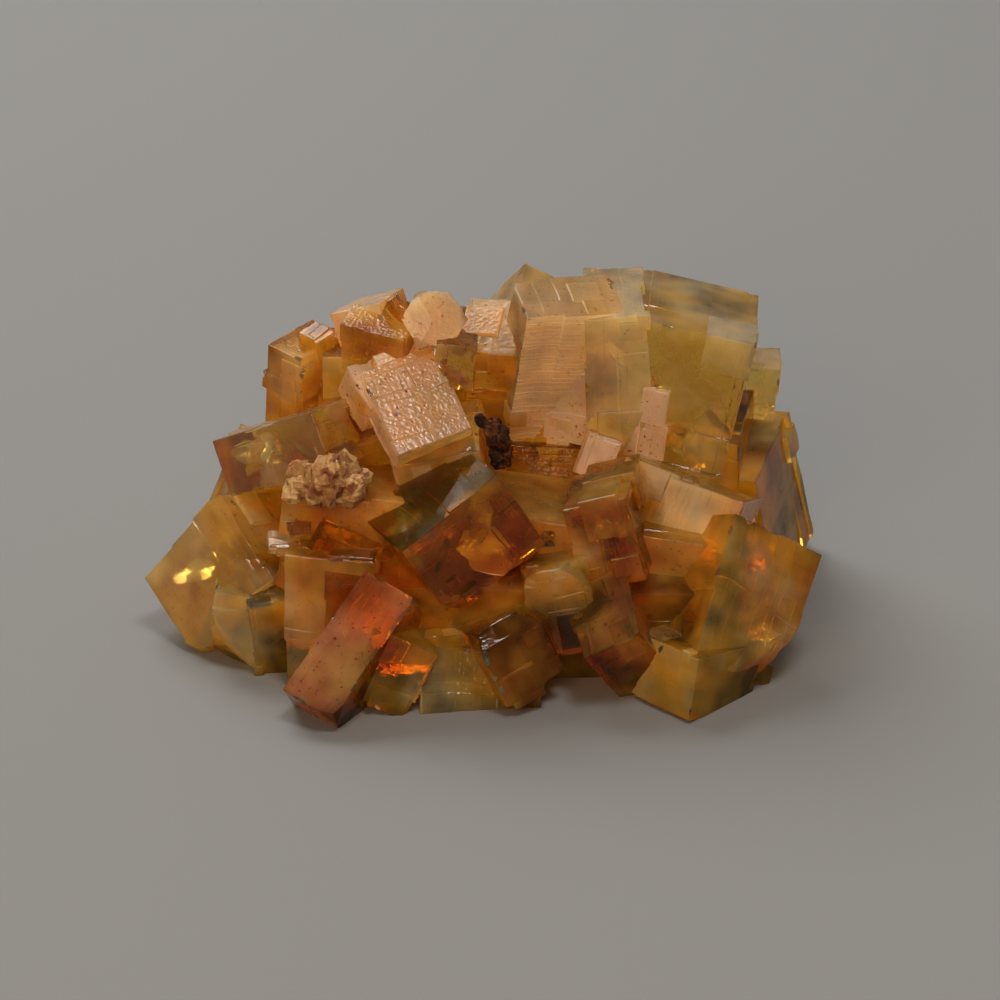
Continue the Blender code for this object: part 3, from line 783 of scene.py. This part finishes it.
# %% Colour and node helpers
def linear(hex_colour):
    """An sRGB hex colour as a linear RGBA tuple."""
    channels = [int(hex_colour[i : i + 2], 16) / 255 for i in (1, 3, 5)]
    return (*(c / 12.92 if c <= 0.04045 else ((c + 0.055) / 1.055) ** 2.4 for c in channels), 1.0)


def per(size_mm):
    """The scale of a pattern with features of this size in mm."""
    return 1 / (size_mm * MM)


def add_node(tree, kind, links=None, values=None, **settings):
    """Adds a node: settings are its properties, values its inputs' numbers, links its inputs' source sockets."""
    made = tree.nodes.new(f"ShaderNode{kind}")
    for key, value in settings.items():
        setattr(made, key, value)
    for key, value in (values or {}).items():
        made.inputs[key].default_value = value
    for key, source in (links or {}).items():
        tree.links.new(source, made.inputs[key])
    return made


def blended(tree, share, first, second, blend="MIX"):
    """Two colours mixed by a share: each is a hex string or a socket."""
    values = {key: linear(c) for key, c in ((6, first), (7, second)) if isinstance(c, str)}
    links = {key: c for key, c in ((6, first), (7, second)) if not isinstance(c, str)}
    if isinstance(share, float):
        values[0] = share
    else:
        links[0] = share
    return add_node(tree, "Mix", links, values, data_type="RGBA", blend_type=blend).outputs[2]


def ranged(tree, source, low, high, to_low=0.0, to_high=1.0):
    """A value moved from one range to another and held inside it."""
    settings = {"From Min": low, "From Max": high, "To Min": to_low, "To Max": to_high}
    return add_node(tree, "MapRange", {"Value": source}, settings).outputs[0]


def combined(tree, operation, first, second):
    """Two values through a Math node: each is a number or a socket."""
    pair = ((0, first), (1, second))
    values = {key: value for key, value in pair if isinstance(value, (int, float))}
    links = {key: value for key, value in pair if not isinstance(value, (int, float))}
    return add_node(tree, "Math", links, values, operation=operation).outputs[0]


def new_material(name):
    material = bpy.data.materials.new(name)
    material.use_nodes = True
    return material, material.node_tree, material.node_tree.nodes["Principled BSDF"]


# %% [markdown]
# ## Amber fluorite
#
# Fluorite is calcium fluoride with an index of refraction of 1.434, lower than window glass, so it shines softly.
# Here it is amber: light that crosses a few millimetres comes out yellow, and light that crosses two centimetres
# comes out red-brown. A plain absorption inside the body does both with one colour and one density. Its skin was
# etched to a pinkish frost in patches that follow the crystal's own axes, and the frost scatters light where the
# clean cleavage lets it through. So haze drives three things together: less transmission, more roughness, and a
# base colour that goes from clear amber to pink. The pink film, the brown zones and the rust are colour only.
# On the cubes that sit in shade, the brown is partly painted shade.

# %% The fluorite
FLUORITE_IOR = 1.434
AMBER = linear("#FAE83C")  # what white light keeps after one unit of the density below
AMBER_DENSITY = 250.0  # per metre
CLOUD_MM = 4.5  # width of a soft patch of haze
PATCH_MM = 1.3  # side of the little blocks that the haze breaks up into
FROST_MM = 0.22  # grain of the frost
ZONE_MM = 6.0  # width of a brown zone
LINE_MM = 0.22  # spacing of the fine growth lines
LINE_LONG_MM = 5.0  # how far a growth line runs
HILLOCK_MM = 0.34  # side of the low square hillocks on a frosted face
SPECK_MM = 0.35  # a speck of rust


def noise(tree, source, size_mm, detail=3.0, roughness=0.5):
    values = {"Scale": per(size_mm), "Detail": detail, "Roughness": roughness}
    return add_node(tree, "TexNoise", {"Vector": source}, values).outputs["Fac"]


def growth_lines(tree, source, axis):
    """Streaks across one of the crystal's axes, from a noise that is drawn out along the two others."""
    stretch = [per(LINE_LONG_MM)] * 3
    stretch[axis] = per(LINE_MM)
    drawn = add_node(tree, "VectorMath", {0: source}, {1: tuple(stretch)}, operation="MULTIPLY").outputs[0]
    return add_node(tree, "TexNoise", {"Vector": drawn}, {"Scale": 1.0, "Detail": 0.0}).outputs["Fac"]


def blocks(tree, source, size_mm):
    """A random value for each little cube of space along the crystal's axes."""
    snap = add_node(tree, "VectorMath", {0: source}, {1: (size_mm * MM,) * 3}, operation="SNAP")
    wide = add_node(tree, "VectorMath", {0: snap.outputs[0]}, {1: (per(1.0),) * 3}, operation="MULTIPLY")
    return add_node(tree, "TexWhiteNoise", {"Vector": wide.outputs[0]}).outputs["Value"]


def amber_fluorite():
    material, tree, shader = new_material("amber_fluorite")
    place = add_node(tree, "TexCoord").outputs["Object"]
    grown = add_node(tree, "Attribute", attribute_name="grown").outputs["Vector"]
    skin = add_node(tree, "Attribute", attribute_name="skin").outputs["Vector"]
    looks = add_node(tree, "SeparateXYZ", {0: skin})
    frosted, pinkish, brown_and_shade = looks.outputs[0], looks.outputs[1], looks.outputs[2]

    cloud = ranged(tree, noise(tree, place, CLOUD_MM, 2.0, 0.6), 0.3, 0.7, -0.25, 0.25)
    block = ranged(tree, blocks(tree, grown, PATCH_MM), 0.0, 1.0, -0.03, 0.03)
    uneven = combined(tree, "ADD", cloud, block)
    haze = ranged(tree, combined(tree, "ADD", frosted, uneven), 0.15, 1.0)

    # The brown here is the crystal's zoning, and on the cubes that sit in shade it is partly painted shade.
    zoned_brown_and_shade = combined(tree, "MULTIPLY", brown_and_shade, ranged(tree, noise(tree, place, ZONE_MM, 2.0), 0.3, 0.7, 0.3, 1.7))
    amber = blended(tree, ranged(tree, zoned_brown_and_shade, 0.0, 0.4), "#FBF0C8", "#F0BC44")
    clear_and_brown = blended(tree, ranged(tree, zoned_brown_and_shade, 0.4, 1.0), amber, "#BC6C24")
    film = blended(tree, pinkish, "#EEBC4C", "#DCA284")
    film = blended(tree, combined(tree, "MULTIPLY", zoned_brown_and_shade, 0.25), film, "#B0602A")
    colour = blended(tree, combined(tree, "MULTIPLY", haze, 0.75), clear_and_brown, film)
    colour = blended(tree, ranged(tree, frosted, 0.75, 0.95, 0.0, 0.45), colour, "#EAD6C4")
    rusty = ranged(tree, noise(tree, place, SPECK_MM, 2.0), 0.64, 0.72, 0.0, 0.8)
    colour = blended(tree, combined(tree, "MULTIPLY", rusty, pinkish), colour, "#7C2E16")
    tree.links.new(colour, shader.inputs["Base Color"])
    tree.links.new(ranged(tree, haze, 0.0, 1.0, 0.93, 0.32), shader.inputs["Transmission Weight"])
    tree.links.new(ranged(tree, haze, 0.0, 1.0, 0.02, 0.18), shader.inputs["Roughness"])
    shader.inputs["IOR"].default_value = FLUORITE_IOR
    shader.subsurface_method = "BURLEY"
    shader.inputs["Subsurface Weight"].default_value = 1.0
    shader.inputs["Subsurface Radius"].default_value = (1.0, 0.6, 0.25)
    shader.inputs["Subsurface Scale"].default_value = 4.0 * MM

    grain = noise(tree, grown, FROST_MM, 0.0)
    square = {"distance": "CHEBYCHEV"}
    hillock = add_node(tree, "TexVoronoi", {"Vector": grown}, {"Scale": per(HILLOCK_MM)}, **square).outputs["Distance"]
    low = combined(tree, "MULTIPLY", hillock, 0.6)
    frost = combined(tree, "ADD", combined(tree, "MULTIPLY", grain, 0.35), low)
    lines = combined(tree, "ADD", growth_lines(tree, grown, 0), growth_lines(tree, grown, 2))
    wave = combined(tree, "ADD", lines, combined(tree, "MULTIPLY", noise(tree, grown, 1.8, 0.0), 0.8))
    height = combined(tree, "ADD", combined(tree, "MULTIPLY", frost, frosted), combined(tree, "MULTIPLY", wave, 0.2))
    bump = add_node(tree, "Bump", {"Height": height}, {"Strength": 0.4, "Distance": 0.14 * MM})
    tree.links.new(bump.outputs[0], shader.inputs["Normal"])
    inside = add_node(tree, "VolumeAbsorption", values={"Color": AMBER, "Density": AMBER_DENSITY})
    tree.links.new(inside.outputs[0], tree.nodes["Material Output"].inputs["Volume"])
    return material


amber_crystals.data.materials.clear()
amber_crystals.data.materials.append(amber_fluorite())
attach(amber_crystals, "root")
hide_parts("fluorite_crystals")
print("fluorite: absorption of", AMBER_DENSITY, "per metre,", [round(c, 3) for c in AMBER[:3]])

# %% [markdown]
# ## The crumb of host rock and the iron crust
#
# Two scraps of other minerals are caught between the cubes: a beige crumb of the rock that the cluster grew on,
# and a dark crust of iron oxide in a crevice. Both are loose, granular stuff. The solid body gives each its
# shape, and stones like those that broke the edges are strewn over it and grown into it, so that the scrap is
# one piece with grains all over. A grain remembers its own shade, which is what makes a rock look like a rock.


# %% Grains over a body
GRAIN_SUNK = 0.60  # how far a grain's middle lies below the surface, as a share of its radius


def places_on(mesh, count, draw):
    """Random points spread evenly over a mesh of triangles, and the directions that their faces look in."""
    points = mesh_array(mesh.vertices, "co", 3)
    corners = points[mesh_array(mesh.polygons, "vertices", 3, int)]
    across = np.cross(corners[:, 1] - corners[:, 0], corners[:, 2] - corners[:, 0])
    areas = np.linalg.norm(across, axis=1)
    picked = draw.choice(len(areas), count, p=areas / areas.sum())
    shares = np.sort(draw.uniform(0, 1, (count, 2)), axis=1)
    weights = np.stack([shares[:, 0], shares[:, 1] - shares[:, 0], 1 - shares[:, 1]], -1)
    return (corners[picked] * weights[..., None]).sum(axis=1), across[picked] / areas[picked, None]


def shaded(mesh, shade):
    put_attribute(mesh, "shade", "FLOAT", "FACE", np.full(len(mesh.polygons), shade))
    return mesh


def grainy(name, node, count, sizes, planes, seed):
    """A merged copy of a node's mesh with stones grown into its surface, each sunk past its middle."""
    draw = np.random.default_rng([SEED, seed])
    core = bpy.data.objects[node].data.copy()
    merged = bmesh.new()
    merged.from_mesh(core)
    bmesh.ops.remove_doubles(merged, verts=merged.verts, dist=0.0005 * MM)
    merged.to_mesh(core)
    merged.free()
    core.materials.clear()
    grains = bpy.data.collections.new(name)
    bpy.context.scene.collection.children.link(grains)
    for at, out in zip(*places_on(core, count, draw)):
        radius = draw.uniform(*sizes)
        points, faces = stone(radius, planes, draw, 0.50)
        mesh = mesh_of("grain", at + (points - out * GRAIN_SUNK * radius) * MM, faces)
        grains.objects.link(bpy.data.objects.new("grain", shaded(mesh, draw.uniform(0, 1))))
    whole = bpy.data.objects.new("whole", shaded(core, 0.4))
    bpy.context.scene.collection.objects.link(whole)
    boolean(whole, "UNION", grains)
    mesh = worked_out(whole, name)
    for helper in [*grains.objects, whole]:
        bpy.data.objects.remove(helper, do_unlink=True)
    bpy.data.collections.remove(grains)
    keep_outer_skin(mesh)
    obj = bpy.data.objects.new(name, mesh)
    bpy.context.scene.collection.objects.link(obj)
    mesh.calc_loop_triangles()
    print(name, "has", count, "grains and", len(mesh.loop_triangles), "triangles")
    return obj


rock_crumb = grainy("rock_crumb", "matrix_crumb", 70, (0.45, 1.05), 3, 71)
iron_crust = grainy("iron_crust", "iron_oxide_fill", 130, (0.18, 0.45), 3, 72)

# %% [markdown]
# ## Rock and iron oxide
#
# The crumb is quartz and clay: cream and honey-coloured grains, a few of them glassy, stained red-brown by iron
# in its hollows. The crust is goethite, which is nearly black with an ochre dust on it, and quite dull.


# %% Their finishes
def host_rock():
    material, tree, shader = new_material("host_rock")
    place = add_node(tree, "TexCoord").outputs["Object"]
    shade = add_node(tree, "Attribute", attribute_name="shade").outputs["Fac"]
    mottled = combined(tree, "ADD", shade, ranged(tree, noise(tree, place, 0.4, 4.0, 0.7), 0.3, 0.7, -0.35, 0.35))
    stone_colour = blended(tree, ranged(tree, mottled, 0.0, 1.0), "#9C6A36", "#E0B880")
    stain = ranged(tree, noise(tree, place, 0.9, 4.0), 0.52, 0.62, 0.0, 0.75)
    colour = blended(tree, stain, stone_colour, "#7A3216")
    tree.links.new(colour, shader.inputs["Base Color"])
    tree.links.new(ranged(tree, shade, 0.55, 0.9, 0.75, 0.22), shader.inputs["Roughness"])
    shader.inputs["Subsurface Weight"].default_value = 0.4
    shader.inputs["Subsurface Radius"].default_value = (1.0, 0.6, 0.3)
    shader.inputs["Subsurface Scale"].default_value = 0.6 * MM
    rough = noise(tree, place, 0.15, 3.0)
    bump = add_node(tree, "Bump", {"Height": rough}, {"Strength": 0.6, "Distance": 0.06 * MM})
    tree.links.new(bump.outputs[0], shader.inputs["Normal"])
    return material


def iron_oxide():
    material, tree, shader = new_material("iron_oxide")
    place = add_node(tree, "TexCoord").outputs["Object"]
    shade = add_node(tree, "Attribute", attribute_name="shade").outputs["Fac"]
    crust = blended(tree, shade, "#2C160A", "#6A3A18")
    dust = ranged(tree, noise(tree, place, 0.7, 5.0, 0.7), 0.52, 0.66, 0.0, 0.7)
    tree.links.new(blended(tree, dust, crust, "#9C5C28"), shader.inputs["Base Color"])
    tree.links.new(ranged(tree, shade, 0.7, 1.0, 0.85, 0.45), shader.inputs["Roughness"])
    rough = noise(tree, place, 0.12, 3.0)
    bump = add_node(tree, "Bump", {"Height": rough}, {"Strength": 0.8, "Distance": 0.06 * MM})
    tree.links.new(bump.outputs[0], shader.inputs["Normal"])
    return material


for piece, node, slot, finish in (
    (rock_crumb, "matrix_crumb", "host_rock", host_rock),
    (iron_crust, "iron_oxide_fill", "iron_oxide", iron_oxide),
):
    piece.data.materials.clear()
    piece.data.materials.append(finish())
    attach(piece, "root")
    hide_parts(node)

# %% [markdown]
# ## Floor, light and camera
#
# A plain pale floor, and three lamps. A soft one behind, above and to the left lights the cubes through from the
# back, as a window does. A smaller one high overhead and a little in front is mirrored by the skins that lie
# flat, which gives the frost its glints. A warm one low in front keeps some light on the front faces. Clear faces
# mirror whatever stands before them, and a bright room would lay a grey veil over the amber, so the world is
# dim in front and brighter behind.

# %% Floor
FLOOR_SIDE = 3.0  # m


def floor_material():
    material, tree, shader = new_material("pale_floor")
    shader.inputs["Base Color"].default_value = linear("#949391")
    shader.inputs["Roughness"].default_value = 0.85
    return material


floor_mesh = bpy.data.meshes.new("floor")
reach = FLOOR_SIDE / 2
floor_mesh.from_pydata([(-reach, -reach, 0), (reach, -reach, 0), (reach, reach, 0), (-reach, reach, 0)], [], [(0, 1, 2, 3)])
floor_mesh.materials.append(floor_material())
floor = bpy.data.objects.new("floor", floor_mesh)
bpy.context.scene.collection.objects.link(floor)


# %% Lamps
def soft_lamp(name, place, aim, side, watts, hex_colour="#FFFFFF"):
    """A square area lamp that looks from its place at a point."""
    lamp = bpy.data.lights.new(name, "AREA")
    lamp.shape = "SQUARE"
    lamp.size = side
    lamp.energy = watts
    lamp.color = linear(hex_colour)[:3]
    obj = bpy.data.objects.new(name, lamp)
    obj.location = place
    obj.rotation_euler = (Vector(aim) - Vector(place)).to_track_quat("-Z", "Y").to_euler()
    bpy.context.scene.collection.objects.link(obj)
    return obj


MIDDLE = (0.0, 0.0, 0.011)
soft_lamp("window_behind", (-0.16, 0.30, 0.38), MIDDLE, 0.30, 1.3)
soft_lamp("overhead", (0.10, -0.165, 0.57), MIDDLE, 0.16, 0.80)
soft_lamp("front_fill", (-0.16, -0.50, 0.24), MIDDLE, 0.40, 1.25, "#FFE6C8")
world = bpy.data.worlds.new("studio")
world.use_nodes = True
direction = add_node(world.node_tree, "TexCoord").outputs["Generated"]
axes = add_node(world.node_tree, "SeparateXYZ", {0: direction})
up = ranged(world.node_tree, axes.outputs["Z"], -0.1, 0.8, 0.42, 0.28)
behind = ranged(world.node_tree, axes.outputs["Y"], -0.8, 0.8, 0.3, 1.1)
sky = world.node_tree.nodes["Background"]
sky.inputs["Color"].default_value = linear("#E8E6E2")
world.node_tree.links.new(combined(world.node_tree, "MULTIPLY", up, behind), sky.inputs["Strength"])
bpy.context.scene.world = world
for kind in ("max_bounces", "transmission_bounces"):
    setattr(bpy.context.scene.cycles, kind, 6)
bpy.context.scene.cycles.diffuse_bounces = 2
bpy.context.scene.view_settings.view_transform = "Standard"
bpy.context.scene.view_settings.look = "Medium High Contrast"

# %% Camera
CAMERA_ELEVATION = math.radians(26)
CAMERA_DISTANCE = 0.300  # m
AIM = Vector(LAYOUT_TO_FRAME * MM) + Vector((0, 0, 0.011))
VIEW_WIDTH = 0.0728  # m that the picture's width spans at the aim

camera_data = bpy.data.cameras.new("camera")
camera_data.sensor_width = 36.0
camera_data.lens = camera_data.sensor_width * CAMERA_DISTANCE / VIEW_WIDTH
camera_data.clip_start = 0.01
camera = bpy.data.objects.new("camera", camera_data)
back = Vector((0, -math.cos(CAMERA_ELEVATION), math.sin(CAMERA_ELEVATION)))
camera.location = AIM + back * CAMERA_DISTANCE
camera.rotation_euler = (math.pi / 2 - CAMERA_ELEVATION, 0, 0)
bpy.context.scene.collection.objects.link(camera)
bpy.context.scene.camera = camera
print("lens:", round(camera_data.lens, 2), "mm")
